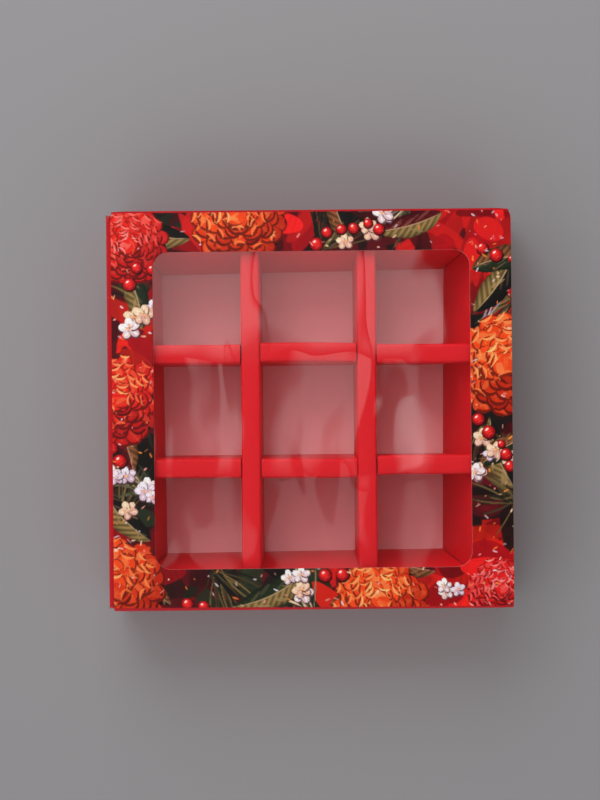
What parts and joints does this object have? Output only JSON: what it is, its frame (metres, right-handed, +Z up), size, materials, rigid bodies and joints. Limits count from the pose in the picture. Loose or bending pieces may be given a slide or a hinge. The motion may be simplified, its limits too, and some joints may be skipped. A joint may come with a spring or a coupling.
{
  "type": "windowed sweet box",
  "caption": "Square windowed sleeve box with a sliding hollow-walled tray and a folded lattice that divides it into cells for sweets.",
  "frame": {"origin": "on the surface the box stands on, under the middle of the sleeve and tray together", "axes": "+X along the sleeve, the way the tray slides, towards the end where the tray is recessed; +Y across it, towards the glue seam; +Z up through the window"},
  "size_m": [0.1468, 0.145, 0.035],
  "materials": {
    "printed_board": "satin",
    "clear_film": "gloss",
    "red_board": "satin"
  },
  "bodies": {
    "sleeve": {"sleeve": "printed_board", "window_film": "clear_film"},
    "tray": {"tray": "red_board", "long_divider_1": "red_board", "long_divider_2": "red_board", "cross_divider_1": "red_board", "cross_divider_2": "red_board"}
  },
  "joints": [
    {"name": "tray_slide", "type": "slide", "parent": "sleeve", "child": "tray", "axis": [-1, 0, 0], "range_m": [-0.147, 0.143]}
  ]
}
